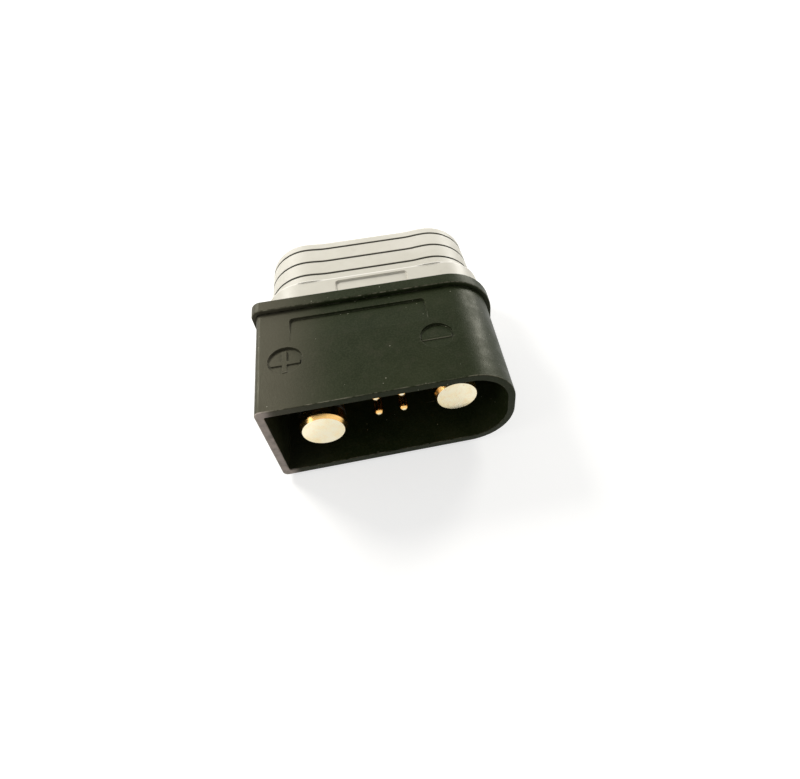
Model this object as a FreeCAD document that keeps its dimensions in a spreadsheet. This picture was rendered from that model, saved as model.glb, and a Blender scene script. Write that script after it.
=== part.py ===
import FreeCAD, Part
import Sketcher
import math
import os
import re

# Anti-spark connector: plug half with two power contacts, four signal contacts and a rear cover.
# Millimetres. The row's frame is +X along the width (positive contact on the -X side), +Y from the
# open mouth to the rear, +Z up, with the origin under the middle of the part, on the surface it lies on.
# Every body is drawn in the connector's own axes: local z runs from the mouth plane to the rear,
# local x is the row's X, and local y points down.

Vector = FreeCAD.Vector
doc = FreeCAD.newDocument("AntiSparkConnector")

# Driving dimensions
SIZES = [
    ("flat_side_room", 3.28, "power flange to the outside of the flat, positive side"),
    ("round_side_room", 4.02, "power flange to the outside of the round, negative side"),
    ("flange_room", 3.7, "power flange to the outside of the shroud, above and below"),
    ("contact_gap", 2.25, "free space between the flanges of a power and a signal contact"),
    ("shroud_corner", 1.1, "corner radius on the flat, positive side"),
    ("shroud_side_flat", 3.4, "straight stretch in the middle of the round side"),
    ("shroud_wall", 1.45, "wall of the shroud"),
    ("shroud_depth", 25.0, "mouth plane to the front of the collar"),
    ("shroud_edge", 0.2, "rounding of the mouth's outer edge"),
    ("collar_depth", 2.9, "length of the collar"),
    ("collar_outset", 1.0, "collar above the shroud"),
    ("collar_corner", 2.1, "collar corner radius on the flat side"),
    ("collar_edge", 0.35, "rounding of the collar's edges"),
    ("socket_depth", 4.9, "socket behind the bulkhead that takes the cover"),
    ("cavity_corner", 0.4, "inner corner radius on the flat side"),
    ("bulkhead_thickness", 4.5, "wall that carries the contacts"),
    ("contact_diameter", 9.0, "power contact"),
    ("contact_lead", 0.8, "length of the tapered tip"),
    ("contact_lead_drop", 0.45, "radius lost over the tapered tip"),
    ("seat_step", 0.4, "contact's stretch in the bulkhead above its pin"),
    ("contact_clearance", 0.05, "radial play of a contact in the bulkhead"),
    ("positive_recess", 1.5, "positive tip behind the mouth plane"),
    ("negative_recess", 4.05, "negative tip behind the mouth plane"),
    ("flange_step", 2.1, "retaining flange above the stretch in the bulkhead"),
    ("flange_thickness", 2.0, "retaining flange of a power contact"),
    ("flange_clearance", 0.3, "radial play of the flange in its seat"),
    ("cup_diameter", 10.0, "solder cup"),
    ("cup_wall", 0.9, "wall of the solder cup"),
    ("cup_length", 11.0, "solder cup behind the flange"),
    ("cup_floor", 2.0, "solid stretch under the solder cup"),
    ("cup_scoop", 6.0, "length of the opening in the cup's side"),
    ("electrode_length", 3.0, "head of the tip electrode"),
    ("electrode_shank", 2.5, "shank of the tip electrode"),
    ("ring_thickness", 0.8, "insulating ring between tip and body"),
    ("sleeve_wall", 0.8, "wall of the insulating sleeve"),
    ("sleeve_gap", 1.0, "sleeve's end short of the bore's floor"),
    ("sleeve_bore_depth", 13.0, "blind bore in the positive contact"),
    ("resistor_diameter", 4.4, "pre-charge resistor"),
    ("resistor_play", 0.1, "radial play of the resistor in the sleeve"),
    ("resistor_length", 7.0, "pre-charge resistor"),
    ("resistor_cap_length", 1.4, "metal end cap"),
    ("resistor_cap_drop", 0.12, "resistor body below its end caps"),
    ("spring_play", 0.2, "radial play of the contact spring in the sleeve"),
    ("spring_wire", 0.45, "wire of the contact spring"),
    ("spring_pitch", 0.95, "pitch of the contact spring"),
    ("signal_pitch_across", 5.1, "signal contacts, along the width"),
    ("signal_pitch_up", 5.0, "signal contacts, along the height"),
    ("signal_diameter", 1.9, "signal contact"),
    ("signal_seat_step", 0.2, "contact's stretch in the bulkhead above its pin"),
    ("signal_recess", 4.9, "signal tip behind the mouth plane"),
    ("signal_flange_step", 0.45, "flange above the stretch in the bulkhead"),
    ("signal_flange_thickness", 1.2, "flange of a signal contact"),
    ("signal_tail_diameter", 1.6, "tail of a signal contact"),
    ("signal_tail_length", 6.0, "tail of a signal contact"),
    ("skirt_inset", 0.45, "sides of the cover's front block inside the shroud's"),
    ("skirt_side_flat", 4.4, "straight stretch in the middle of the skirt's sides"),
    ("skirt_depth", 4.9, "front block of the rear cover"),
    ("spigot_inset", 1.6, "step from the skirt to the spigot"),
    ("spigot_clearance", 0.15, "play of the spigot in its socket"),
    ("spigot_gap", 0.1, "spigot's end short of the bulkhead"),
    ("bead_height", 0.4, "snap bead above the spigot"),
    ("bead_depth", 1.2, "snap bead along the spigot"),
    ("bead_width", 12.0, "snap bead across the spigot"),
    ("bead_place", 2.6, "snap bead in front of the skirt"),
    ("grip_inset", 0.75, "sides of the grip inside the front block's"),
    ("grip_rise", 0.25, "grip over the two cables above the front block"),
    ("grip_waist", 0.3, "how far the middle of the grip lies below its ends"),
    ("grip_side_flat", 3.1, "straight stretch in the middle of the grip's sides"),
    ("grip_blend", 20.0, "radius of the curves down to the waist"),
    ("grip_depth", 14.2, "grip of the rear cover"),
    ("grip_draft", 0.04, "drop of the grip's surface for each millimetre of its length"),
    ("grip_end_round", 1.5, "rounding of the rear edge"),
    ("groove_place", 2.15, "first groove behind the skirt"),
    ("groove_pitch", 4.49, "distance between the grooves"),
    ("groove_width", 0.5, "grip groove"),
    ("groove_depth", 0.8, "grip groove"),
    ("cable_bore", 12.0, "outlet of a power cable"),
    ("cable_bore_length", 12.0, "close stretch of the outlet"),
    ("cup_room", 1.3, "free space around the solder cup"),
    ("room_web", 2.6, "wall between the signal chamber and a cable's bore"),
    ("room_wall", 2.1, "wall between the signal chamber and the spigot's outside"),
    ("signal_room_corner", 1.5, "corner radius of that chamber"),
    ("signal_outlet", 6.4, "outlet of the signal wires"),
    ("outlet_wall", 3.0, "rear wall of the cover"),
]
NAMES = {alias for alias, value, note in SIZES}
GROOVES = 3

sheet = doc.addObject("Spreadsheet::Sheet", "Sizes")
for row, (alias, value, note) in enumerate(SIZES, start=1):
    sheet.set(f"A{row}", note)
    sheet.set(f"B{row}", str(value))
    sheet.setAlias(f"B{row}", alias)
doc.recompute()

# Radii of the contacts, from the pin outwards
PIN = "(contact_diameter / 2)"
SEAT = f"({PIN} + seat_step)"
FLANGE = f"({SEAT} + flange_step)"
SIGNAL_PIN = "(signal_diameter / 2)"
SIGNAL_SEAT = f"({SIGNAL_PIN} + signal_seat_step)"
SIGNAL_FLANGE = f"({SIGNAL_SEAT} + signal_flange_step)"
SLEEVE_BORE = "(resistor_diameter / 2 + resistor_play)"
SLEEVE = f"({SLEEVE_BORE} + sleeve_wall)"
CABLE_ROOM = "(cup_diameter / 2 + cup_room)"

# Places across the connector. The contacts set the shroud's size, and the shroud sets the cover's.
MIDDLE_X = "((flat_side_room - round_side_room) / 2)"
POWER_OFFSET = f"(signal_pitch_across / 2 + {SIGNAL_FLANGE} + contact_gap + {FLANGE})"
POSITIVE_X = f"({MIDDLE_X} - {POWER_OFFSET})"
NEGATIVE_X = f"({MIDDLE_X} + {POWER_OFFSET})"
HALF_WIDTH = f"({POWER_OFFSET} + {FLANGE} + (flat_side_room + round_side_room) / 2)"
HALF_HEIGHT = f"({FLANGE} + flange_room)"
SHROUD_ROUND = f"({HALF_HEIGHT} - shroud_side_flat / 2)"
SKIRT_SIDE = f"({HALF_WIDTH} - skirt_inset)"
SKIRT_ROUND = f"({HALF_HEIGHT} - skirt_side_flat / 2)"
SPIGOT_SIDE = f"({SKIRT_SIDE} - spigot_inset)"
SPIGOT_TOP = f"({HALF_HEIGHT} - spigot_inset)"
GRIP_SIDE = f"({SKIRT_SIDE} - grip_inset)"
GRIP_TOP = f"({HALF_HEIGHT} + grip_rise)"
CABLE_AXES = (POSITIVE_X, NEGATIVE_X)

# Stations along the connector, from the mouth plane
COLLAR_REAR = "(shroud_depth + collar_depth)"
BULKHEAD_REAR = f"({COLLAR_REAR} - socket_depth)"
CAVITY_END = f"({BULKHEAD_REAR} - bulkhead_thickness)"
SPIGOT_FRONT = f"({BULKHEAD_REAR} + spigot_gap)"
GRIP_FRONT = f"({COLLAR_REAR} + skirt_depth)"
REAR_END = f"({GRIP_FRONT} + grip_depth)"
SLEEVE_FRONT = "(electrode_length + ring_thickness)"


def bound(text):
    """The expression with every size's name turned into a reference to the sheet."""
    return re.sub(r"[a-z_]+", lambda word: "Sizes." + word[0] if word[0] in NAMES else word[0], str(text))


def value_of(text):
    """The number that an expression of sizes stands for."""
    return float(sheet.evalExpression(bound(text)))


def new_body(label, across="0", station="0"):
    """A body whose local z runs along the mating axis, from the mouth plane to the rear."""
    body = doc.addObject("PartDesign::Body", label)
    body.Label = label
    body.Placement = FreeCAD.Placement(Vector(), FreeCAD.Rotation(Vector(1, 0, 0), -90))
    body.setExpression("Placement.Base.x", bound(across))
    body.setExpression("Placement.Base.y", bound(f"{station} - {REAR_END} / 2"))
    body.setExpression("Placement.Base.z", bound(f"{HALF_HEIGHT} + collar_outset"))
    return body


def new_sketch(body, name, role="XY_Plane", offset="0"):
    """A sketch on one of the body's own planes, moved along that plane's normal."""
    sketch = body.newObject("Sketcher::SketchObject", name)
    plane = next(item for item in body.Origin.OriginFeatures if item.Role == role)
    sketch.AttachmentSupport = [(plane, "")]
    sketch.MapMode = "FlatFace"
    sketch.setExpression("AttachmentOffset.Base.z", bound(offset))
    return sketch


def add_rule(sketch, *definition, text):
    """A dimension of the sketch that follows an expression of the sheet."""
    index = sketch.addConstraint(Sketcher.Constraint(*definition, value_of(text)))
    sketch.setExpression(f"Constraints[{index}]", bound(text))


def place_point(sketch, curve, point, across, along):
    """Ties a point of a curve to the sketch's origin by two expressions."""
    if str(across) == "0":
        sketch.addConstraint(Sketcher.Constraint("PointOnObject", curve, point, -2))
    else:
        add_rule(sketch, "DistanceX", -1, 1, curve, point, text=across)
    if str(along) == "0":
        sketch.addConstraint(Sketcher.Constraint("PointOnObject", curve, point, -1))
    else:
        add_rule(sketch, "DistanceY", -1, 1, curve, point, text=along)


def line(start, end):
    """A straight stretch between two points of a sketch."""
    return Part.LineSegment(Vector(*start, 0), Vector(*end, 0))


def arc(centre, radius, start, end):
    """An arc of a sketch, counter-clockwise between two angles in degrees."""
    circle = Part.Circle(Vector(*centre, 0), Vector(0, 0, 1), radius)
    return Part.ArcOfCircle(circle, math.radians(start), math.radians(end))


def add_circle(sketch, across, along, radius):
    """A circle whose centre and radius are bound to the sheet."""
    centre = Vector(value_of(across), value_of(along), 0)
    curve = sketch.addGeometry(Part.Circle(centre, Vector(0, 0, 1), value_of(radius)))
    place_point(sketch, curve, 3, across, along)
    add_rule(sketch, "Radius", curve, text=radius)


def add_polygon(sketch, corners):
    """A closed straight-sided outline with every corner bound to the sheet."""
    points = [(value_of(across), value_of(along)) for across, along in corners]
    count = len(points)
    curves = [sketch.addGeometry(line(points[i], points[(i + 1) % count])) for i in range(count)]
    for i, (across, along) in enumerate(corners):
        sketch.addConstraint(Sketcher.Constraint("Coincident", curves[i - 1], 2, curves[i], 1))
        place_point(sketch, curves[i], 1, across, along)


def add_rounded_outline(sketch, left, right, half, left_radius, right_radius):
    """Closed outline, symmetric about the x axis, with one corner radius at each side."""
    x0, x1, h = value_of(left), value_of(right), value_of(half)
    a, b = value_of(left_radius), value_of(right_radius)
    curves = [
        line((x0 + a, -h), (x1 - b, -h)),
        arc((x1 - b, b - h), b, -90, 0),
        line((x1, b - h), (x1, h - b)),
        arc((x1 - b, h - b), b, 0, 90),
        line((x1 - b, h), (x0 + a, h)),
        arc((x0 + a, h - a), a, 90, 180),
        line((x0, h - a), (x0, a - h)),
        arc((x0 + a, a - h), a, 180, 270),
    ]
    ids = [sketch.addGeometry(curve) for curve in curves]
    for first, second in zip(ids, ids[1:] + ids[:1]):
        sketch.addConstraint(Sketcher.Constraint("Tangent", first, 2, second, 1))
    for index in (ids[0], ids[4]):
        sketch.addConstraint(Sketcher.Constraint("Horizontal", index))
    for index in (ids[2], ids[6]):
        sketch.addConstraint(Sketcher.Constraint("Vertical", index))
    for index, radius in ((ids[1], right_radius), (ids[3], right_radius),
                          (ids[5], left_radius), (ids[7], left_radius)):
        add_rule(sketch, "Radius", index, text=radius)
    add_rule(sketch, "DistanceX", -1, 1, ids[6], 1, text=left)
    add_rule(sketch, "DistanceX", -1, 1, ids[2], 1, text=right)
    add_rule(sketch, "DistanceY", -1, 1, ids[4], 1, text=half)
    add_rule(sketch, "DistanceY", ids[0], 1, -1, 1, text=half)


def add_grip_outline(sketch, inset):
    """The waisted outline of the grip, moved inwards by an inset.

    Each end is a rounded block over one cable. From its crest an outward curve and an inward curve of
    like radius come down to the flat waist. Only the upper right quarter is worked out: the others
    mirror it.
    """
    side = f"({GRIP_SIDE} - {inset})"
    crest = f"({GRIP_TOP} - {inset})"
    waist = f"({GRIP_TOP} - grip_waist - {inset})"
    corner = f"({GRIP_TOP} - grip_side_flat / 2 - {inset})"
    outward = f"(grip_blend - {inset})"
    inward = f"(grip_blend + {inset})"
    x1, top, low = value_of(side), value_of(crest), value_of(waist)
    r, r_out, r_in = value_of(corner), value_of(outward), value_of(inward)
    centre_x, centre_y = x1 - r, top - r
    turn = math.degrees(math.acos(1 - (top - low) / (r_out + r_in)))
    low_x = centre_x - (r_out + r_in) * math.sin(math.radians(turn))

    def quarter(sx, sy):
        """Corner, outward and inward curves of one quarter, with the angles mirrored."""
        def sweep(x, y, radius, start, end):
            angles = [(start, end), (180 - end, 180 - start)][sx < 0]
            angles = angles if sy > 0 else (-angles[1], -angles[0])
            return arc((sx * x, sy * y), radius, *angles)
        return (sweep(centre_x, centre_y, r, 0, 90),
                sweep(centre_x, top - r_out, r_out, 90, 90 + turn),
                sweep(low_x, low + r_in, r_in, 270, 270 + turn))

    upper_right, upper_left = quarter(1, 1), quarter(-1, 1)
    lower_left, lower_right = quarter(-1, -1), quarter(1, -1)
    curves = [
        line((x1, -centre_y), (x1, centre_y)), *upper_right,
        line((low_x, low), (-low_x, low)), *reversed(upper_left),
        line((-x1, centre_y), (-x1, -centre_y)), *lower_left,
        line((-low_x, -low), (low_x, -low)), *reversed(lower_right),
    ]
    ids = [sketch.addGeometry(curve) for curve in curves]
    # where a curve runs against the round trip, its two ends change places
    starts, ends = [], []
    for curve in curves:
        against = isinstance(curve, Part.ArcOfCircle) and abs(curve.Radius - r_in) < 1e-9 \
            and abs(abs(curve.Center.y) - (low + r_in)) < 1e-9
        starts.append(2 if against else 1)
        ends.append(1 if against else 2)
    for i in range(len(ids)):
        k = (i + 1) % len(ids)
        sketch.addConstraint(Sketcher.Constraint("Tangent", ids[i], ends[i], ids[k], starts[k]))
    for index in (ids[0], ids[8]):
        sketch.addConstraint(Sketcher.Constraint("Vertical", index))
    for index in (ids[4], ids[12]):
        sketch.addConstraint(Sketcher.Constraint("Horizontal", index))
    add_rule(sketch, "DistanceX", -1, 1, ids[0], 1, text=side)
    add_rule(sketch, "DistanceX", ids[8], 1, -1, 1, text=side)
    add_rule(sketch, "DistanceY", -1, 1, ids[4], 1, text=waist)
    add_rule(sketch, "DistanceY", ids[12], 1, -1, 1, text=waist)
    for corner_id, crest_id, waist_id, up in ((ids[1], ids[2], ids[3], 1), (ids[7], ids[6], ids[5], 1),
                                              (ids[9], ids[10], ids[11], -1),
                                              (ids[15], ids[14], ids[13], -1)):
        add_rule(sketch, "Radius", corner_id, text=corner)
        add_rule(sketch, "Radius", crest_id, text=outward)
        add_rule(sketch, "Radius", waist_id, text=inward)
        sketch.addConstraint(Sketcher.Constraint("Vertical", corner_id, 3, crest_id, 3))
        centre_height = "grip_side_flat / 2"
        if up > 0:
            add_rule(sketch, "DistanceY", -1, 1, corner_id, 3, text=centre_height)
        else:
            add_rule(sketch, "DistanceY", corner_id, 3, -1, 1, text=centre_height)


def pad(body, name, sketch, length):
    """Material added from the sketch towards the rear."""
    feature = body.newObject("PartDesign::Pad", name)
    feature.Profile = sketch
    feature.setExpression("Length", bound(length))
    doc.recompute()
    return feature


def pocket(body, name, sketch, length, rearwards):
    """Material cut from the sketch, towards the rear or towards the mouth."""
    before = body.Shape.Volume
    feature = body.newObject("PartDesign::Pocket", name)
    feature.Profile = sketch
    feature.Reversed = rearwards
    feature.setExpression("Length", bound(length))
    doc.recompute()
    if not body.Shape.Volume < before - 1e-6:
        raise RuntimeError(f"{name} removes nothing")
    return feature


def revolve(body, name, sketch):
    """A turned form around the body's z axis."""
    feature = body.newObject("PartDesign::Revolution", name)
    feature.Profile = sketch
    feature.ReferenceAxis = (sketch, ["V_Axis"])
    feature.Angle = 360
    doc.recompute()
    return feature


def round_edges(body, name, radius, wanted):
    """A fillet on the edges of the body's last feature that the test accepts."""
    base = body.Tip
    names = [f"Edge{i}" for i, edge in enumerate(base.Shape.Edges, start=1) if wanted(edge)]
    if not names:
        raise RuntimeError(f"{name} finds no edge")
    feature = body.newObject("PartDesign::Fillet", name)
    feature.Base = (base, names)
    feature.setExpression("Radius", bound(radius))
    doc.recompute()
    return feature


def lies_at(station):
    """A test for edges that lie whole in one plane across the mating axis."""
    height = value_of(station)
    return lambda edge: all(abs(vertex.Z - height) < 1e-4 for vertex in edge.Vertexes) \
        and abs(edge.CenterOfMass.z - height) < 1e-4


def reaches(edge, half_width, half_height):
    """Whether an edge's middle lies outside a box around the mating axis."""
    middle = edge.valueAt((edge.FirstParameter + edge.LastParameter) / 2)
    return abs(middle.x) > value_of(half_width) or abs(middle.y) > value_of(half_height)


def build_housing():
    """Shroud keyed by one flat and one round side, its collar, the bulkhead and the cover's socket."""
    body = new_body("housing")
    outline = new_sketch(body, "ShroudOutline")
    add_rounded_outline(outline, f"-{HALF_WIDTH}", HALF_WIDTH, HALF_HEIGHT, "shroud_corner", SHROUD_ROUND)
    pad(body, "Shroud", outline, COLLAR_REAR)

    outline = new_sketch(body, "CollarOutline", offset="shroud_depth")
    outside_round = f"({SHROUD_ROUND} + collar_outset)"
    add_rounded_outline(outline, f"-({HALF_WIDTH} + collar_outset)", f"{HALF_WIDTH} + collar_outset",
                        f"{HALF_HEIGHT} + collar_outset", "collar_corner", outside_round)
    pad(body, "Collar", outline, "collar_depth")
    inside = (f"{HALF_WIDTH} + collar_outset / 2", f"{HALF_HEIGHT} + collar_outset / 2")
    ends = (lies_at("shroud_depth"), lies_at(COLLAR_REAR))

    def on_collar(edge):
        if not (ends[0](edge) or ends[1](edge)):
            return False
        curve = edge.Curve
        wide = isinstance(curve, Part.Circle) and (abs(curve.Radius - value_of(outside_round)) < 1e-6
                                                   or abs(curve.Radius - value_of("collar_corner")) < 1e-6)
        return wide or (not isinstance(curve, Part.Circle) and reaches(edge, *inside))

    round_edges(body, "CollarEdges", "collar_edge", on_collar)
    round_edges(body, "MouthEdge", "shroud_edge", lies_at("0"))

    outline = new_sketch(body, "CavityOutline")
    add_rounded_outline(outline, f"shroud_wall - {HALF_WIDTH}", f"{HALF_WIDTH} - shroud_wall",
                        f"{HALF_HEIGHT} - shroud_wall", "cavity_corner", f"{SHROUD_ROUND} - shroud_wall")
    pocket(body, "Cavity", outline, CAVITY_END, rearwards=True)

    outline = new_sketch(body, "SocketOutline", offset=COLLAR_REAR)
    side, top = f"{SPIGOT_SIDE} + spigot_clearance", f"{SPIGOT_TOP} + spigot_clearance"
    corner = f"{SKIRT_ROUND} - spigot_inset + spigot_clearance"
    add_rounded_outline(outline, f"-({side})", side, top, corner, corner)
    pocket(body, "Socket", outline, "socket_depth", rearwards=False)

    bores = new_sketch(body, "ContactBores", offset=CAVITY_END)
    for across in CABLE_AXES:
        add_circle(bores, across, "0", f"{SEAT} + contact_clearance")
    for across, up in SIGNAL_PLACES:
        add_circle(bores, across, up, f"{SIGNAL_SEAT} + contact_clearance")
    pocket(body, "Bores", bores, "bulkhead_thickness", rearwards=True)

    seats = new_sketch(body, "FlangeSeats", offset=BULKHEAD_REAR)
    for across in CABLE_AXES:
        add_circle(seats, across, "0", f"{FLANGE} + flange_clearance")
    pocket(body, "PowerSeats", seats, "flange_thickness", rearwards=False)
    seats = new_sketch(body, "SignalSeats", offset=BULKHEAD_REAR)
    for across, up in SIGNAL_PLACES:
        add_circle(seats, across, up, f"{SIGNAL_FLANGE} + contact_clearance")
    pocket(body, "SignalSeatCuts", seats, "signal_flange_thickness", rearwards=False)

    add_beads(body, "spigot_clearance", "Pocket")
    return body


def add_beads(body, play, kind):
    """The cover's two snap beads, or with some play the notches that take them."""
    middle = f"({COLLAR_REAR} - bead_place)"
    reach = f"({SPIGOT_TOP} + bead_height + {play} / 2)"
    half = f"(bead_depth / 2 + {play})"
    root = f"({SPIGOT_TOP} - bead_height)"
    for name, sign in (("Upper", "-"), ("Lower", "")):
        profile = new_sketch(body, f"{name}BeadProfile", role="YZ_Plane", offset="0")
        add_polygon(profile, [
            (f"{sign}{root}", f"{middle} - {half}"),
            (f"{sign}{reach}", f"{middle} - {half} / 3"),
            (f"{sign}{reach}", f"{middle} + {half} / 3"),
            (f"{sign}{root}", f"{middle} + {half}"),
        ])
        before = body.Shape.Volume
        feature = body.newObject(f"PartDesign::{kind}", f"{name}Bead")
        feature.Profile = profile
        feature.Midplane = True
        feature.setExpression("Length", bound(f"bead_width + 2 * {play}"))
        doc.recompute()
        if abs(body.Shape.Volume - before) < 1e-6:
            raise RuntimeError(f"{name}Bead changes nothing")


def build_cover():
    """Rear cover: a spigot that snaps into the housing, a plain skirt and a waisted, grooved grip."""
    body = new_body("rear_cover")
    outline = new_sketch(body, "SkirtOutline", offset=COLLAR_REAR)
    add_rounded_outline(outline, f"-{SKIRT_SIDE}", SKIRT_SIDE, HALF_HEIGHT, SKIRT_ROUND, SKIRT_ROUND)
    pad(body, "Skirt", outline, "skirt_depth")

    front = new_sketch(body, "GripFront", offset=GRIP_FRONT)
    add_grip_outline(front, "0")
    rear = new_sketch(body, "GripRear", offset=REAR_END)
    add_grip_outline(rear, "grip_draft * grip_depth")
    grip = body.newObject("PartDesign::AdditiveLoft", "Grip")
    grip.Profile = front
    grip.Sections = [rear]
    grip.Ruled = True
    doc.recompute()
    round_edges(body, "GripEnd", "grip_end_round", lies_at(REAR_END))

    for i in range(GROOVES):
        behind = f"(groove_place + {i} * groove_pitch)"
        ring = new_sketch(body, f"GrooveOutline{i + 1}", offset=f"{GRIP_FRONT} + {behind} - groove_width / 2")
        reach = (f"(2 * {GRIP_SIDE})", f"(2 * {GRIP_TOP})")
        add_polygon(ring, [(f"-{reach[0]}", f"-{reach[1]}"), (reach[0], f"-{reach[1]}"),
                           reach, (f"-{reach[0]}", reach[1])])
        add_grip_outline(ring, f"(groove_depth + grip_draft * {behind})")
        pocket(body, f"Groove{i + 1}", ring, "groove_width", rearwards=True)

    outline = new_sketch(body, "SpigotOutline", offset=SPIGOT_FRONT)
    corner = f"{SKIRT_ROUND} - spigot_inset"
    add_rounded_outline(outline, f"-{SPIGOT_SIDE}", SPIGOT_SIDE, SPIGOT_TOP, corner, corner)
    pad(body, "Spigot", outline, f"{COLLAR_REAR} - {SPIGOT_FRONT}")
    add_beads(body, "0", "Pad")

    rooms = new_sketch(body, "CableRooms", offset=SPIGOT_FRONT)
    for across in CABLE_AXES:
        add_circle(rooms, across, "0", CABLE_ROOM)
    pocket(body, "CableRoomCuts", rooms, f"{REAR_END} - cable_bore_length - {SPIGOT_FRONT}", rearwards=True)
    outlets = new_sketch(body, "CableOutlets", offset=REAR_END)
    for across in CABLE_AXES:
        add_circle(outlets, across, "0", "cable_bore / 2")
    pocket(body, "CableOutletCuts", outlets, "cable_bore_length", rearwards=False)

    room = new_sketch(body, "SignalRoom", offset=SPIGOT_FRONT)
    half = f"({POWER_OFFSET} - {CABLE_ROOM} - room_web)"
    add_rounded_outline(room, f"{MIDDLE_X} - {half}", f"{MIDDLE_X} + {half}", f"{SPIGOT_TOP} - room_wall",
                        "signal_room_corner", "signal_room_corner")
    pocket(body, "SignalRoomCut", room, f"{REAR_END} - outlet_wall - {SPIGOT_FRONT}", rearwards=True)
    outlet = new_sketch(body, "SignalOutlet", offset=REAR_END)
    add_circle(outlet, MIDDLE_X, "0", "signal_outlet / 2")
    pocket(body, "SignalOutletCut", outlet, "outlet_wall", rearwards=False)
    return body


def add_solder_cup(body, flange_rear):
    """Opens the cup's side towards the top, so that the wire can be laid in and soldered."""
    scoop = new_sketch(body, "CupScoop", role="YZ_Plane", offset="0")
    end = f"{flange_rear} + cup_length"
    add_polygon(scoop, [("-cup_diameter", f"{end} - cup_scoop"), ("0", f"{end} - cup_scoop"),
                        ("0", f"{end} + 1"), ("-cup_diameter", f"{end} + 1")])
    before = body.Shape.Volume
    cut = body.newObject("PartDesign::Pocket", "CupScoopCut")
    cut.Profile = scoop
    cut.Midplane = True
    cut.setExpression("Length", bound("cup_diameter * 2"))
    doc.recompute()
    if not body.Shape.Volume < before - 1e-6:
        raise RuntimeError("CupScoopCut removes nothing")


def rear_profile(flange_front):
    """Corners of a power contact behind its pin: seat, flange and solder cup, ending on the axis."""
    seat_front = f"({flange_front} - bulkhead_thickness + flange_thickness)"
    flange_rear = f"({flange_front} + flange_thickness)"
    cup_end = f"({flange_rear} + cup_length)"
    cup_floor = f"({flange_rear} + cup_floor)"
    bore = "(cup_diameter / 2 - cup_wall)"
    return [
        (PIN, seat_front), (SEAT, seat_front), (SEAT, flange_front), (FLANGE, flange_front),
        (FLANGE, flange_rear), ("cup_diameter / 2", flange_rear), ("cup_diameter / 2", cup_end),
        (bore, cup_end), (bore, cup_floor), ("0", cup_floor),
    ]


def build_negative_contact():
    """Turned pin with a tapered tip, a retaining flange and a solder cup."""
    body = new_body("negative_contact", NEGATIVE_X, "negative_recess")
    flange_front = f"({BULKHEAD_REAR} - flange_thickness - negative_recess)"
    profile = new_sketch(body, "TurnedProfile", role="XZ_Plane")
    add_polygon(profile, [("0", "0"), (f"{PIN} - contact_lead_drop", "0"), (PIN, "contact_lead"),
                          *rear_profile(flange_front)])
    revolve(body, "Pin", profile)
    add_solder_cup(body, f"{flange_front} + flange_thickness")
    return body


def build_positive_contact():
    """Main body of the positive contact, bored from the front for the insulated resistor."""
    body = new_body("positive_contact", POSITIVE_X, "positive_recess")
    flange_front = f"({BULKHEAD_REAR} - flange_thickness - positive_recess)"
    floor = f"({SLEEVE_FRONT} + sleeve_bore_depth)"
    bore = f"({SLEEVE} + contact_clearance)"
    profile = new_sketch(body, "TurnedProfile", role="XZ_Plane")
    add_polygon(profile, [("0", floor), (bore, floor), (bore, SLEEVE_FRONT), (PIN, SLEEVE_FRONT),
                          *rear_profile(flange_front)])
    revolve(body, "Pin", profile)
    add_solder_cup(body, f"{flange_front} + flange_thickness")
    return body


def build_tip_electrode():
    """Front electrode of the positive contact, which meets the socket first."""
    body = new_body("tip_electrode", POSITIVE_X, "positive_recess")
    shank = "resistor_diameter / 2"
    end = "electrode_length + electrode_shank"
    profile = new_sketch(body, "TurnedProfile", role="XZ_Plane")
    add_polygon(profile, [("0", "0"), (f"{PIN} - contact_lead_drop", "0"), (PIN, "contact_lead"),
                          (PIN, "electrode_length"), (shank, "electrode_length"), (shank, end), ("0", end)])
    revolve(body, "Electrode", profile)
    return body


def build_sleeve():
    """Insulating ring between electrode and body, with the sleeve that lines the bore."""
    body = new_body("insulating_sleeve", POSITIVE_X, "positive_recess")
    end = f"{SLEEVE_FRONT} + sleeve_bore_depth - sleeve_gap"
    profile = new_sketch(body, "TurnedProfile", role="XZ_Plane")
    add_polygon(profile, [(SLEEVE_BORE, "electrode_length"), (PIN, "electrode_length"), (PIN, SLEEVE_FRONT),
                          (SLEEVE, SLEEVE_FRONT), (SLEEVE, end), (SLEEVE_BORE, end)])
    revolve(body, "Sleeve", profile)
    return body


def build_resistor():
    """Pre-charge resistor: a ceramic rod between two metal end caps."""
    body = new_body("precharge_resistor", POSITIVE_X, "positive_recess + electrode_length + electrode_shank")
    cap = "resistor_diameter / 2"
    rod = "(resistor_diameter / 2 - resistor_cap_drop)"
    second = "(resistor_length - resistor_cap_length)"
    profile = new_sketch(body, "TurnedProfile", role="XZ_Plane")
    add_polygon(profile, [("0", "0"), (cap, "0"), (cap, "resistor_cap_length"), (rod, "resistor_cap_length"),
                          (rod, second), (cap, second), (cap, "resistor_length"), ("0", "resistor_length")])
    revolve(body, "Rod", profile)
    return body


def build_spring():
    """Contact spring that presses the resistor against the electrode."""
    front = "(electrode_length + electrode_shank + resistor_length)"
    body = new_body("contact_spring", POSITIVE_X, f"positive_recess + {front}")
    room = f"({SLEEVE_FRONT} + sleeve_bore_depth - {front})"
    section = new_sketch(body, "WireSection", role="XZ_Plane")
    add_circle(section, f"{SLEEVE_BORE} - spring_play - spring_wire / 2", "spring_wire / 2", "spring_wire / 2")
    coil = body.newObject("PartDesign::AdditiveHelix", "Coil")
    coil.Profile = section
    coil.ReferenceAxis = (section, ["V_Axis"])
    coil.Mode = 0
    coil.setExpression("Pitch", bound("spring_pitch"))
    coil.setExpression("Height", bound(f"{room} - spring_wire"))
    doc.recompute()
    return body


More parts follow.
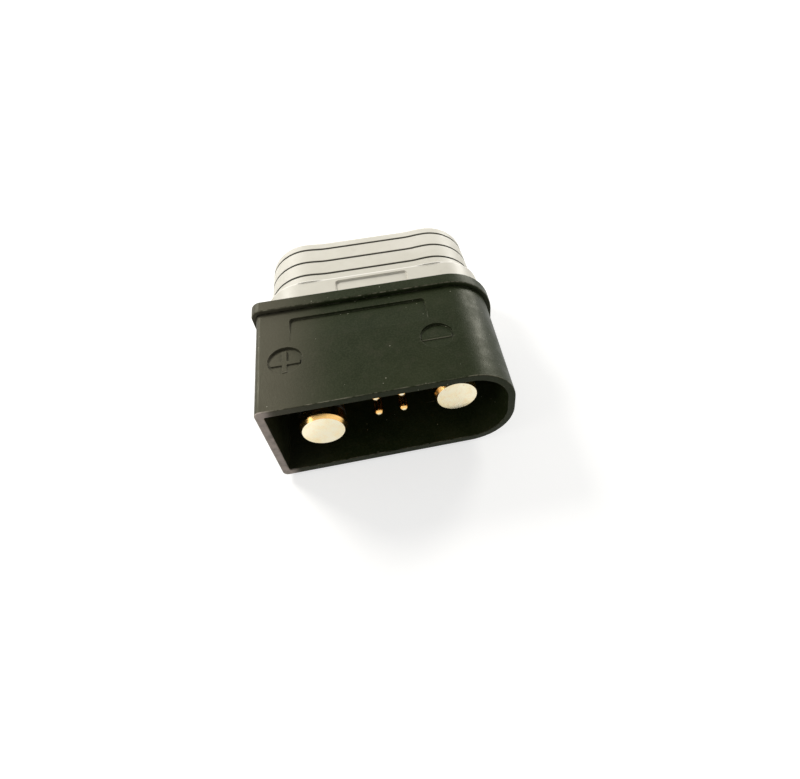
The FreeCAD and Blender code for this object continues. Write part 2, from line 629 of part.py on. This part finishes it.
def build_signal_contact(number, across, up):
    """Small turned pin with a domed tip, a flange and a tail for its wire."""
    body = new_body(f"signal_contact_{number}", across, "signal_recess")
    height = up[1:] if up.startswith("-") else f"-{up}"
    body.setExpression("Placement.Base.z", bound(f"{HALF_HEIGHT} + collar_outset + {height}"))
    rear = f"({BULKHEAD_REAR} - signal_recess)"
    front = f"({rear} - signal_flange_thickness)"
    seat_front = f"({rear} - bulkhead_thickness)"
    tail, end = "signal_tail_diameter / 2", f"({rear} + signal_tail_length)"
    profile = new_sketch(body, "TurnedProfile", role="XZ_Plane")
    add_polygon(profile, [("0", "0"), (SIGNAL_PIN, "0"), (SIGNAL_PIN, seat_front), (SIGNAL_SEAT, seat_front),
                          (SIGNAL_SEAT, front), (SIGNAL_FLANGE, front), (SIGNAL_FLANGE, rear), (tail, rear),
                          (tail, end), ("0", end)])
    revolve(body, "Pin", profile)
    round_edges(body, "Dome", "signal_diameter * 0.46", lies_at("0"))
    return body


SIGNAL_PLACES = [
    (f"({MIDDLE_X} {sx} signal_pitch_across / 2)", f"{sy}signal_pitch_up / 2")
    for sy in ("", "-") for sx in ("-", "+")
]

bodies = [
    build_housing(), build_cover(), build_positive_contact(), build_tip_electrode(), build_sleeve(),
    build_resistor(), build_spring(), build_negative_contact(),
]
for number, (across, up) in enumerate(SIGNAL_PLACES, start=1):
    bodies.append(build_signal_contact(number, across, up))
doc.recompute()

for item in doc.Objects:
    if "Invalid" in item.State or "Error" in item.State:
        raise RuntimeError(f"{item.Name} failed: {item.State}")
os.makedirs("parts", exist_ok=True)
for body in bodies:
    shape = body.Shape
    if shape.isNull() or not shape.isValid() or len(shape.Solids) != 1:
        raise RuntimeError(f"{body.Label} is not one valid solid")
for body in bodies:
    body.Shape.exportStep(f"parts/{body.Label}.step")
    box = body.Shape.BoundBox
    print(f"{body.Label:20s} {body.Shape.Volume:9.1f} mm3  x {box.XMin:.2f}..{box.XMax:.2f}"
          f"  y {box.YMin:.2f}..{box.YMax:.2f}  z {box.ZMin:.2f}..{box.ZMax:.2f}")
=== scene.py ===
import math

import bmesh
import bpy
from mathutils import Matrix, Vector


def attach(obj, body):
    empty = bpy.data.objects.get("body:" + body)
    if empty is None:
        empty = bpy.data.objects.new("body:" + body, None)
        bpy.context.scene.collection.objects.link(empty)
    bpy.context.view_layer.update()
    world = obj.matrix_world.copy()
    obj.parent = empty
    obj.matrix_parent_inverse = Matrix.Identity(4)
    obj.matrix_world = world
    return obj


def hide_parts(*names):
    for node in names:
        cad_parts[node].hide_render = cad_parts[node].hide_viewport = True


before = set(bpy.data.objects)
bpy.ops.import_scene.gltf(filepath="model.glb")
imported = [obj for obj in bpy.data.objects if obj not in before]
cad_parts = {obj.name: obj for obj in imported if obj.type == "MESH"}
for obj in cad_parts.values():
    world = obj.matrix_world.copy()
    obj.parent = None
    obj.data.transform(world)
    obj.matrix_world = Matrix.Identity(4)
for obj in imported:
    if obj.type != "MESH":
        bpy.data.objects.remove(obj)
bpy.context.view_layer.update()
MM = 0.001

# Places on the connector in millimetres: x across, y from the mouth to the rear, z up
TOP = 22.4
MIDDLE_Z = 11.7
GRIP_MIDDLE = -0.37
OUTLET_ARM = 13.4
OUTLET_EDGE = (7.2, 8.0)
SIGNAL_PLACES = ((-2.92, 9.2), (2.18, 9.2), (-2.92, 14.2), (2.18, 14.2))
MOUTH_EDGE = -23.37
COLLAR_EDGE = 1.66
MINUS_EDGE = -12.76
PLUS_END = -14.84
COVER_STEP = 9.3
GROOVES = (11.45, 15.94, 20.43)

# Camera, at the photograph's viewing angle
CAMERA_PLACE = Vector((0.001863, -0.087780, 0.103675))
CAMERA_RIGHT = Vector((0.978263, -0.206425, -0.019685))
CAMERA_DOWN = Vector((-0.172153, -0.755546, -0.632064))
CAMERA_AHEAD = Vector((0.115598, 0.621719, -0.774659))

camera_data = bpy.data.cameras.new("camera")
camera_data.sensor_width = 36.0
camera_data.lens = 25.723
camera_data.shift_x = -0.08
camera_data.shift_y = -0.02
camera_data.clip_start = 0.005
camera = bpy.data.objects.new("camera", camera_data)
turn = Matrix((CAMERA_RIGHT, -CAMERA_DOWN, -CAMERA_AHEAD)).transposed().to_4x4()
camera.matrix_world = Matrix.Translation(CAMERA_PLACE) @ turn
bpy.context.scene.collection.objects.link(camera)
bpy.context.scene.camera = camera


# Material helpers
class Shader:
    """A material's node tree, with short calls for the nodes used here."""

    def __init__(self, name):
        self.material = bpy.data.materials.new(name)
        self.material.use_nodes = True
        self.tree = self.material.node_tree
        self.tree.nodes.clear()
        self.out = self.tree.nodes.new("ShaderNodeOutputMaterial")
        self.place = self.node("TexCoord").outputs["Object"]

    def node(self, kind, **settings):
        made = self.tree.nodes.new("ShaderNode" + kind)
        for key, value in settings.items():
            setattr(made, key, value)
        return made

    def feed(self, socket, value):
        if isinstance(value, bpy.types.NodeSocket):
            self.tree.links.new(value, socket)
        else:
            socket.default_value = value

    def math(self, operation, a, b=0.0):
        made = self.node("Math", operation=operation)
        self.feed(made.inputs[0], a)
        self.feed(made.inputs[1], b)
        return made.outputs[0]

    def add(self, a, b):
        return self.math("ADD", a, b)

    def subtract(self, a, b):
        return self.math("SUBTRACT", a, b)

    def times(self, a, b):
        return self.math("MULTIPLY", a, b)

    def larger(self, a, b):
        return self.math("MAXIMUM", a, b)

    def length(self, a, b):
        return self.math("SQRT", self.add(self.times(a, a), self.times(b, b)))

    def noise(self, scale, detail=4.0, rough=0.55, place=None):
        made = self.node("TexNoise")
        self.feed(made.inputs["Vector"], place or self.place)
        made.inputs["Scale"].default_value = scale
        made.inputs["Detail"].default_value = detail
        made.inputs["Roughness"].default_value = rough
        return made.outputs["Fac"]

    def span(self, value, low, high, to_low=0.0, to_high=1.0):
        """A smooth change from one value to another while the input goes from low to high."""
        made = self.node("MapRange", interpolation_type="SMOOTHSTEP")
        for key, item in (("Value", value), ("From Min", low), ("From Max", high),
                          ("To Min", to_low), ("To Max", to_high)):
            self.feed(made.inputs[key], item)
        return made.outputs[0]

    def mix(self, share, a, b):
        made = self.node("Mix", data_type="RGBA")
        self.feed(made.inputs[0], share)
        self.feed(made.inputs[6], a)
        self.feed(made.inputs[7], b)
        return made.outputs[2]

    def axes(self, vector=None):
        made = self.node("SeparateXYZ")
        self.feed(made.inputs[0], vector or self.place)
        return made.outputs

    def bump(self, height, distance, strength):
        made = self.node("Bump")
        made.inputs["Distance"].default_value = distance
        made.inputs["Strength"].default_value = strength
        self.feed(made.inputs["Height"], height)
        return made.outputs[0]

    def surface(self, color, roughness, normal, metallic=0.0, specular=0.5, tint=(1, 1, 1, 1), coat=0.0):
        made = self.node("BsdfPrincipled")
        self.feed(made.inputs["Base Color"], color)
        self.feed(made.inputs["Roughness"], roughness)
        self.feed(made.inputs["Normal"], normal)
        made.inputs["Metallic"].default_value = metallic
        made.inputs["Specular IOR Level"].default_value = specular
        made.inputs["Specular Tint"].default_value = tint
        made.inputs["Coat Weight"].default_value = coat
        made.inputs["Coat Roughness"].default_value = 0.1
        self.feed(self.out.inputs["Surface"], made.outputs[0])
        return self.material


def specks(shader, scale, share, size):
    """Sparse round specks: 1 inside a speck, 0 outside it."""
    cells = shader.node("TexVoronoi", feature="F1")
    shader.feed(cells.inputs["Vector"], shader.place)
    cells.inputs["Scale"].default_value = scale
    chance = shader.node("SeparateColor")
    shader.feed(chance.inputs[0], cells.outputs["Color"])
    near = shader.span(cells.outputs["Distance"], size * 0.55, size, 1.0, 0.0)
    chosen = shader.math("GREATER_THAN", chance.outputs[0], 1.0 - share)
    return shader.times(near, chosen)


def edge_wear_and_highlight(shader, radius):
    """1 along the edges, for wear and a painted edge highlight, broken up as rubbing leaves them, and 0
    on open faces.
    """
    soft = shader.node("Bevel", samples=6)
    soft.inputs["Radius"].default_value = radius
    true = shader.node("NewGeometry")
    dot = shader.node("VectorMath", operation="DOT_PRODUCT")
    shader.feed(dot.inputs[0], soft.outputs[0])
    shader.feed(dot.inputs[1], true.outputs["Normal"])
    edge = shader.span(dot.outputs["Value"], 0.93, 0.995, 1.0, 0.0)
    return shader.times(edge, shader.span(shader.noise(900, 3, 0.6), 0.38, 0.60))


def corner_shade(shader, distance):
    """Painted shade: nearly 1 in corners and at the foot of steps, 0 on open faces."""
    corner = shader.node("AmbientOcclusion", samples=8, only_local=True)
    corner.inputs["Distance"].default_value = distance
    return shader.span(corner.outputs["AO"], 0.56, 0.94, 0.95, 0.0)


def near_line(shader, value, middle, half):
    """1 where a coordinate is near a place given in millimetres, and 0 from half a width away."""
    away = shader.math("ABSOLUTE", shader.subtract(value, middle * MM))
    return shader.span(away, half * MM * 0.4, half * MM, 1.0, 0.0)


# Materials
def housing_plastic():
    """Dark plastic, blotched and dusty, with a painted sheen towards the flat side, painted light on the
    left of the mouth's rim, painted shade in its corners, and edges pale from wear and painted
    highlights.
    """
    s = Shader("housing_plastic")
    x, y, z = s.axes()
    cloud = s.span(s.noise(60, 5, 0.6), 0.35, 0.68)
    color = s.mix(cloud, (0.007, 0.012, 0.003, 1), (0.013, 0.018, 0.006, 1))
    blotch = s.span(s.noise(420, 5, 0.6), 0.5, 0.75)
    color = s.mix(s.times(blotch, 0.5), color, (0.026, 0.026, 0.015, 1))
    fine = s.span(s.noise(3000, 2, 0.7), 0.40, 0.66)
    color = s.mix(s.times(fine, 0.5), color, (0.027, 0.034, 0.016, 1))

    # Painted sheen: the colour is lighter towards the flat side and higher up on the top.
    sheen_towards_flat_side = s.span(x, -8 * MM, -22 * MM)
    sheen_on_top = s.span(z, 17 * MM, 22.3 * MM, 0.15, 0.75)
    color = s.mix(s.times(sheen_towards_flat_side, sheen_on_top), color, (0.078, 0.070, 0.050, 1))
    # Painted light: the left part of the mouth's rim is made pale, broken up by noise.
    rim = s.times(s.span(x, -20.2 * MM, -22.9 * MM), s.span(y, -23.1 * MM, -23.4 * MM))
    rim_light_breakup = s.span(s.noise(500, 4, 0.6), 0.30, 0.60, 0.6, 1.0)
    color = s.mix(s.times(rim, rim_light_breakup), color, (0.52, 0.445, 0.40, 1))

    # Painted highlights: thin pale lines along the mouth's edge and the collar's edge, broken up by
    # noise.
    highlight_lines = s.larger(near_line(s, y, MOUTH_EDGE, 0.13), near_line(s, y, COLLAR_EDGE, 0.12))
    broken = s.times(s.span(s.noise(1100, 3, 0.6), 0.36, 0.60),
                     s.span(s.noise(240, 2, 0.5), 0.34, 0.62, 0.2, 0.8))
    # Pale lines at the minus bar's front edge and the plus's lower end, partly wear and partly painted
    # highlight.
    minus_edge = s.times(near_line(s, y, MINUS_EDGE, 0.10), near_line(s, x, 10.76, 4.2))
    plus_end = s.times(near_line(s, y, PLUS_END, 0.13), near_line(s, x, -18.44, 0.6))
    wear_and_highlight = s.larger(s.times(edge_wear_and_highlight(s, 0.2 * MM), 0.3), s.times(highlight_lines, broken))
    wear_and_highlight = s.larger(wear_and_highlight, s.times(s.larger(minus_edge, plus_end), 0.6))
    # Painted shade: near black in corners and at the foot of steps.
    color = s.mix(corner_shade(s, 0.4 * MM), color, (0.002, 0.003, 0.001, 1))
    # Pale colour for the wear and the painted highlights together.
    color = s.mix(wear_and_highlight, color, (0.20, 0.19, 0.14, 1))
    dust = s.larger(specks(s, 560, 0.22, 0.075), specks(s, 1300, 0.05, 0.13))
    color = s.mix(s.times(dust, 0.75), color, (0.34, 0.33, 0.26, 1))

    roughness = s.span(s.noise(300, 4, 0.6), 0.3, 0.7, 0.36, 0.50)
    height = s.add(s.times(s.noise(5200, 3, 0.6), 0.5), s.times(s.noise(1700, 3, 0.6), 0.5))
    height = s.add(height, s.times(dust, 0.5))
    normal = s.bump(height, 0.06 * MM, 0.8)
    return s.surface(color, roughness, normal, specular=0.13, tint=(1.0, 1.0, 0.70, 1))


def cover_plastic():
    """Pale grey plastic, with painted shade in its grooves and a painted highlight along its step, but
    neither inside its outlets.
    """
    s = Shader("cover_plastic")
    x, y, z = s.axes()
    cloud = s.span(s.noise(60, 4, 0.6), 0.35, 0.7)
    color = s.mix(cloud, (0.585, 0.565, 0.49, 1), (0.655, 0.635, 0.565, 1))
    soil = s.span(s.noise(500, 5, 0.65), 0.52, 0.78)
    color = s.mix(s.times(soil, 0.22), color, (0.42, 0.39, 0.33, 1))

    across = s.math("ABSOLUTE", s.subtract(x, GRIP_MIDDLE * MM))
    aside = s.larger(s.subtract(across, OUTLET_ARM * MM), 0.0)
    reach = s.length(aside, s.subtract(z, MIDDLE_Z * MM))
    outside = s.span(reach, OUTLET_EDGE[0] * MM, OUTLET_EDGE[1] * MM)
    shade = 0.0
    # Painted shade: dark bands along the grooves, outside the outlets.
    for groove in GROOVES:
        shade = s.larger(shade, near_line(s, y, groove, 0.46))
    color = s.mix(s.times(s.times(shade, outside), 0.93), color, (0.040, 0.040, 0.022, 1))
    # Painted highlight: the step's narrow front face is made pale, outside the outlets.
    step = s.times(near_line(s, y, COVER_STEP, 0.24), outside)
    color = s.mix(s.times(step, 0.8), color, (0.88, 0.86, 0.80, 1))
    color = s.mix(s.times(specks(s, 900, 0.025, 0.11), 0.5), color, (0.20, 0.18, 0.15, 1))

    roughness = s.span(s.noise(260, 4, 0.6), 0.3, 0.7, 0.40, 0.52)
    height = s.add(s.times(s.noise(4200, 3, 0.6), 0.6), s.times(s.noise(1200, 2, 0.5), 0.4))
    return s.surface(color, roughness, s.bump(height, 0.025 * MM, 0.7), specular=0.45)


def gold(name, middle_x, middle_z):
    """Gold plating over a turned surface, with marks that run round the contact's own axis."""
    s = Shader(name)
    x, y, z = s.axes()
    turned = s.node("CombineXYZ")
    s.feed(turned.inputs[0], s.length(s.subtract(x, middle_x * MM), s.subtract(z, middle_z * MM)))
    s.feed(turned.inputs[1], y)
    tone = s.span(s.noise(350, 4, 0.6), 0.35, 0.7)
    color = s.mix(tone, (1.0, 0.92, 0.69, 1), (1.0, 0.85, 0.53, 1))
    # Painted reflection: faces near the front end that don't face straight ahead, such as the taper, are
    # coloured deep orange.
    facing = s.axes(s.node("TexCoord").outputs["Normal"])
    taper_reflection = s.times(s.span(facing[1], -0.97, -0.84), s.span(y, -5 * MM, -8 * MM))
    color = s.mix(s.times(taper_reflection, 0.9), color, (1.0, 0.58, 0.17, 1))
    spots = s.span(s.noise(1500, 3, 0.6), 0.64, 0.74)
    color = s.mix(s.times(spots, 0.35), color, (0.55, 0.33, 0.12, 1))
    roughness = s.span(s.noise(700, 4, 0.6), 0.3, 0.75, 0.13, 0.26)
    rings = s.noise(9000, 2, 0.5, place=turned.outputs[0])
    bands = s.noise(1400, 2, 0.5, place=turned.outputs[0])
    height = s.add(s.times(rings, 0.5), s.times(bands, 0.5))
    return s.surface(color, roughness, s.bump(height, 0.012 * MM, 0.6), metallic=1.0)


def insulator():
    s = Shader("insulator")
    tone = s.span(s.noise(600), 0.35, 0.7)
    color = s.mix(tone, (0.030, 0.027, 0.024, 1), (0.055, 0.050, 0.043, 1))
    roughness = s.span(s.noise(900, 3), 0.3, 0.7, 0.35, 0.5)
    return s.surface(color, roughness, s.bump(s.noise(4000, 3), 0.02 * MM, 0.6))


def ceramic():
    s = Shader("ceramic")
    tone = s.span(s.noise(800, 3), 0.35, 0.7)
    color = s.mix(tone, (0.20, 0.33, 0.31, 1), (0.30, 0.44, 0.41, 1))
    roughness = s.span(s.noise(700, 3), 0.3, 0.7, 0.2, 0.35)
    return s.surface(color, roughness, s.bump(s.noise(2500, 3), 0.02 * MM, 0.5), coat=0.5)


def spring_steel():
    s = Shader("spring_steel")
    tone = s.span(s.noise(900, 3), 0.35, 0.7)
    color = s.mix(tone, (0.55, 0.55, 0.56, 1), (0.72, 0.72, 0.71, 1))
    roughness = s.span(s.noise(1500, 3), 0.3, 0.7, 0.2, 0.35)
    return s.surface(color, roughness, s.bump(s.noise(5000, 3), 0.01 * MM, 0.5), metallic=1.0)


# Recessed tags and polarity signs: depths in millimetres below the surface at a place x, y
def smooth(value, low, high):
    """0 below low, 1 above high, and a smooth rise between them."""
    share = min(max((value - low) / (high - low), 0.0), 1.0)
    return share * share * (3 - 2 * share)


def inside_box(x, y, x0, x1, y0, y1, corner):
    """Distance to the outline of a rounded rectangle, negative inside."""
    dx = abs(x - (x0 + x1) / 2) - (x1 - x0) / 2 + corner
    dy = abs(y - (y0 + y1) / 2) - (y1 - y0) / 2 + corner
    return math.hypot(max(dx, 0), max(dy, 0)) + min(max(dx, dy), 0) - corner


def sloped(y, outline, front, rear, depth):
    """A recess whose floor runs up from its rear edge and comes out at its front."""
    floor_depth = depth * min(max((y - front) / (rear - front), 0.0), 1.0)
    return floor_depth * (1 - smooth(outline, -0.09, 0.06))


def raised(outline):
    """0 on a raised bar, so that it stays at the surface's height, and 1 around it."""
    return smooth(outline, -0.06, 0.08)


def housing_tag(x, y):
    """The shroud's bare tag."""
    return sloped(y, inside_box(x, y, -17.3, 10.0, -9.5, -0.95, 0.8), -7.6, -0.95, 0.55)


def plus_sign(x, y):
    """A round recess with a raised plus."""
    disc = math.hypot(x + 18.3, y + 11.86) - 3.27
    upright = inside_box(x, y, -18.9, -17.98, -14.9, -9.6, 0.1)
    crossbar = inside_box(x, y, -21.0, -15.5, -13.05, -12.15, 0.1)
    return sloped(y, disc, -17.4, -8.6, 0.54) * raised(min(upright, crossbar))


def minus_sign(x, y):
    """A round recess with a raised minus."""
    disc = math.hypot(x - 10.85, y + 11.9) - 3.25
    bar = inside_box(x, y, 7.84, 13.69, -12.8, -12.0, 0.1)
    return sloped(y, disc, -15.2, -8.65, 0.54) * raised(bar)


def cover_tag(x, y):
    """The cover's bare tag."""
    return 0.45 * (1 - smooth(inside_box(x, y, -7.55, 7.8, 5.05, 8.48, 0.9), -0.10, 0.06))


# Each mark's area, x and y from and to, with the width of its grid
HOUSING_MARKS = (
    (-17.6, 10.3, -9.8, -0.7, 0.1, housing_tag),
    (-21.8, -14.8, -15.4, -8.4, 0.07, plus_sign),
    (7.4, 14.3, -15.3, -8.5, 0.07, minus_sign))
COVER_MARKS = ((-7.8, 8.1, 4.8, 8.75, 0.08, cover_tag),)

# The relief block clears the surface a little, and its roof stands well above it
CLEARANCE = 0.01
ROOF = 0.8
SHARP_ANGLE = math.radians(32)


def relief_block(x0, x1, y0, y1, step, depth_at):
    """A block over the surface whose underside is a fine grid that dips as deep as the marks do."""
    columns, rows = round((x1 - x0) / step), round((y1 - y0) / step)
    mesh = bmesh.new()
    grid = []
    for j in range(rows + 1):
        y = y0 + (y1 - y0) * j / rows
        line = []
        for i in range(columns + 1):
            x = x0 + (x1 - x0) * i / columns
            line.append(mesh.verts.new((x * MM, y * MM, (TOP + CLEARANCE - depth_at(x, y)) * MM)))
        grid.append(line)
    for j in range(rows):
        for i in range(columns):
            mesh.faces.new((grid[j][i], grid[j][i + 1], grid[j + 1][i + 1], grid[j + 1][i]))
    left = [line[0] for line in reversed(grid)]
    right = [line[-1] for line in grid]
    rim = left[:-1] + grid[0][:-1] + right[:-1] + grid[-1][::-1][:-1]
    above = [mesh.verts.new((v.co.x, v.co.y, (TOP + ROOF) * MM)) for v in rim]
    for k in range(len(rim)):
        n = (k + 1) % len(rim)
        mesh.faces.new((rim[k], above[k], above[n], rim[n]))
    mesh.faces.new(above[::-1])
    bmesh.ops.recalc_face_normals(mesh, faces=mesh.faces)
    return mesh


def as_object(mesh, name):
    data = bpy.data.meshes.new(name)
    mesh.to_mesh(data)
    mesh.free()
    made = bpy.data.objects.new(name, data)
    bpy.context.scene.collection.objects.link(made)
    return made


def loose_copy(node, name):
    """A copy of a CAD piece under its own name, with its vertices joined."""
    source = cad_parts[node]
    shell = source.copy()
    shell.data = source.data.copy()
    shell.name = name
    for key in list(shell.keys()):
        del shell[key]
    shell.parent = None
    bpy.context.scene.collection.objects.link(shell)
    mesh = bmesh.new()
    mesh.from_mesh(shell.data)
    bmesh.ops.remove_doubles(mesh, verts=mesh.verts, dist=1e-7)
    mesh.to_mesh(shell.data)
    mesh.free()
    return shell


def cut_away(shell, block):
    """Takes the block's volume from the shell for good."""
    cut = shell.modifiers.new("relief", "BOOLEAN")
    cut.operation = "DIFFERENCE"
    cut.solver = "EXACT"
    cut.object = block
    graph = bpy.context.evaluated_depsgraph_get()
    data = bpy.data.meshes.new_from_object(shell.evaluated_get(graph))
    shell.modifiers.clear()
    shell.data = data
    bpy.data.objects.remove(block)


def shade_rounded(shell):
    """Smooth shading between faces that meet at a shallow angle, and sharp edges elsewhere."""
    mesh = bmesh.new()
    mesh.from_mesh(shell.data)
    for edge in mesh.edges:
        angle = edge.calc_face_angle(0.0) if len(edge.link_faces) == 2 else math.pi
        edge.smooth = angle < SHARP_ANGLE
    for face in mesh.faces:
        face.smooth = True
    shell.data = bpy.data.meshes.new(shell.name)
    mesh.to_mesh(shell.data)
    mesh.free()
    weighted = shell.modifiers.new("weighted_normals", "WEIGHTED_NORMAL")
    weighted.mode = "FACE_AREA"
    weighted.weight = 50
    weighted.keep_sharp = True


def dress(piece, material):
    piece.data.materials.clear()
    piece.data.materials.append(material)


def marked_shell(node, name, marks, material):
    """The CAD piece with shallow marks cut into its top."""
    shell = loose_copy(node, name)
    for number, area in enumerate(marks):
        cut_away(shell, as_object(relief_block(*area), f"{name}_relief_{number}"))
    shade_rounded(shell)
    dress(shell, material)
    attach(shell, "root")
    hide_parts(node)
    return shell


housing_shell = marked_shell("housing", "housing_shell", HOUSING_MARKS, housing_plastic())
cover_shell = marked_shell("rear_cover", "rear_cover_shell", COVER_MARKS, cover_plastic())

# Materials of the contacts and of the pieces inside the positive one
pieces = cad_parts
gold_positive = gold("gold_positive", GRIP_MIDDLE - OUTLET_ARM, MIDDLE_Z)
dress(pieces["positive_contact"], gold_positive)
dress(pieces["tip_electrode"], gold_positive)
dress(pieces["negative_contact"], gold("gold_negative", GRIP_MIDDLE + OUTLET_ARM, MIDDLE_Z))
dress(pieces["insulating_sleeve"], insulator())
dress(pieces["precharge_resistor"], ceramic())
dress(pieces["contact_spring"], spring_steel())
for number, (x, z) in enumerate(SIGNAL_PLACES, start=1):
    dress(pieces[f"signal_contact_{number}"], gold(f"gold_signal_{number}", x, z))


# Floor, surroundings and lamps
def shown_in_pictures(tree):
    """1 for camera, mirror and see-through rays, 0 for the rays that light the object."""
    path = tree.nodes.new("ShaderNodeLightPath")
    shown = path.outputs["Is Camera Ray"]
    for kind in ("Is Glossy Ray", "Is Transmission Ray"):
        either = tree.nodes.new("ShaderNodeMath")
        either.operation = "MAXIMUM"
        tree.links.new(shown, either.inputs[0])
        tree.links.new(path.outputs[kind], either.inputs[1])
        shown = either.outputs[0]
    return shown


def floor_paint():
    """Pale ground that takes the object's shadow and looks white, with a glow in pictures painted
    brighter far from the object, where the lamps light it less.
    """
    s = Shader("floor")
    matt = s.node("BsdfDiffuse")
    matt.inputs["Color"].default_value = (0.5, 0.5, 0.49, 1)
    away = s.node("VectorMath", operation="LENGTH")
    s.feed(away.inputs[0], s.place)
    painted_glow_level = s.span(away.outputs["Value"], 0.07, 0.45, 0.66, 0.84)
    glow = s.node("Emission")
    s.feed(glow.inputs["Strength"], s.times(shown_in_pictures(s.tree), painted_glow_level))
    both = s.node("AddShader")
    s.feed(both.inputs[0], matt.outputs[0])
    s.feed(both.inputs[1], glow.outputs[0])
    s.feed(s.out.inputs["Surface"], both.outputs[0])
    return s.material


bpy.ops.mesh.primitive_plane_add(size=3.0, location=(0, 0, 0))
floor = bpy.context.object
floor.name = "floor"
floor.data.materials.append(floor_paint())

world = bpy.data.worlds.new("world")
bpy.context.scene.world = world
world.use_nodes = True
tree = world.node_tree
tree.nodes.clear()
background = tree.nodes.new("ShaderNodeBackground")
background.inputs["Color"].default_value = (1, 1, 1, 1)
level = tree.nodes.new("ShaderNodeMapRange")
level.inputs["To Min"].default_value = 0.34
level.inputs["To Max"].default_value = 1.0
output = tree.nodes.new("ShaderNodeOutputWorld")
tree.links.new(shown_in_pictures(tree), level.inputs["Value"])
tree.links.new(level.outputs[0], background.inputs["Strength"])
tree.links.new(background.outputs[0], output.inputs["Surface"])


def area_light(name, place, aim, size, watts):
    data = bpy.data.lights.new(name, "AREA")
    data.shape = "DISK"
    data.size = size
    data.energy = watts
    data.color = (1.0, 0.975, 0.925)
    lamp = bpy.data.objects.new(name, data)
    lamp.location = place
    lamp.rotation_mode = "QUATERNION"
    lamp.rotation_quaternion = (Vector(aim) - Vector(place)).to_track_quat("-Z", "Y")
    bpy.context.scene.collection.objects.link(lamp)


area_light("key", (-0.23, 0.24, 0.27), (0, 0, 0.01), 0.15, 1.52)
area_light("left", (-0.15, -0.06, 0.10), (-0.01, -0.01, 0.01), 0.08, 0.04)
area_light("right", (0.24, 0.22, 0.12), (0, 0, 0.01), 0.12, 0.7)

bpy.context.scene.view_settings.view_transform = "Standard"
